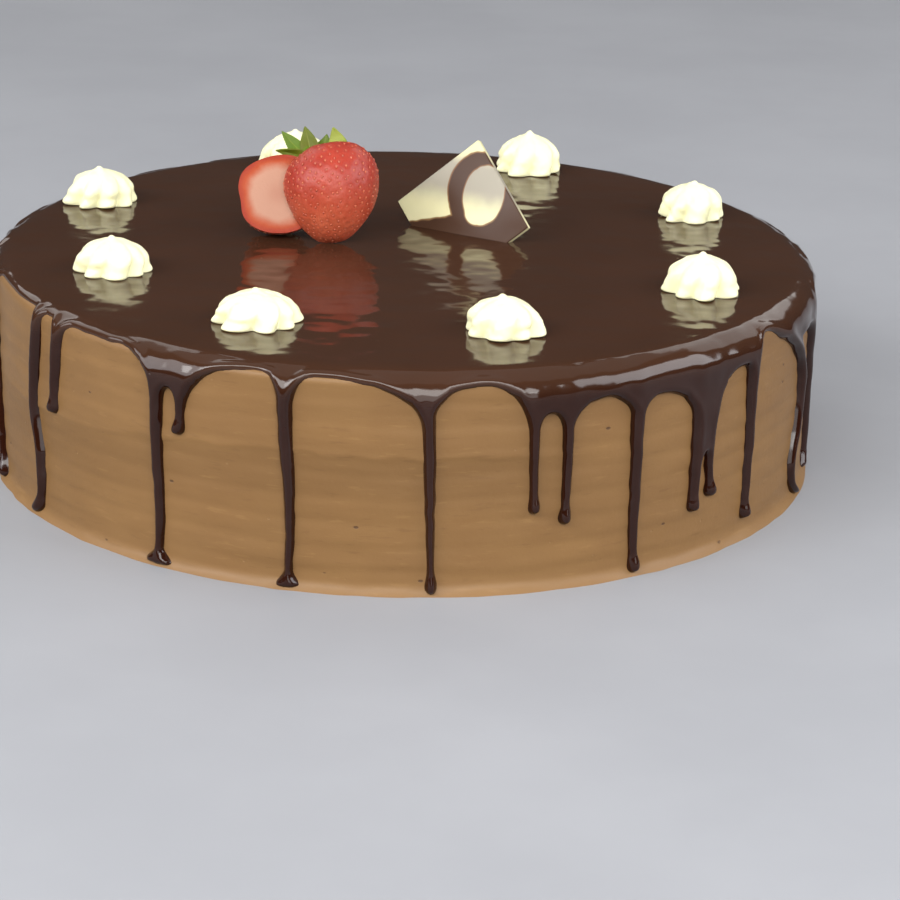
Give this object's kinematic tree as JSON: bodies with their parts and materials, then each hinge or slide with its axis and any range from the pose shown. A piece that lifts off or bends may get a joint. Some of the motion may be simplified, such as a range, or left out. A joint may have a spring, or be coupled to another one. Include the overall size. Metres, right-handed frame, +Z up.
{
  "type": "mousse cake",
  "caption": "Round chocolate mousse cake with a dripping dark glaze, piped cream rosettes, a halved strawberry and a square chocolate plaque on top.",
  "frame": {"origin": "centre of the flat underside, where the cake stands", "axes": "+Z up out of the top of the cake, -Y towards the front, +X to the right seen from the front"},
  "size_m": [0.259, 0.2588, 0.0988],
  "materials": {
    "mousse": "soft matt chocolate mousse with fine comb lines and air bubbles",
    "glaze": "dark chocolate mirror glaze",
    "cream": "soft whipped cream with a satin surface",
    "strawberry": "moist berry skin with pale seeds, paler on the cut face",
    "leaf": "fresh green leaf with veins",
    "plaque": "white chocolate with dark marbling, semi-gloss"
  },
  "bodies": {
    "root": {"mousse": "mousse", "glaze": "glaze", "cream_rosette_1": "cream", "cream_rosette_2": "cream", "cream_rosette_3": "cream", "cream_rosette_4": "cream", "cream_rosette_5": "cream", "cream_rosette_6": "cream", "cream_rosette_7": "cream", "cream_rosette_8": "cream", "strawberry_front_half": "strawberry", "strawberry_rear_half": "strawberry", "strawberry_leaves": "leaf", "chocolate_plaque": "plaque"}
  },
  "joints": []
}
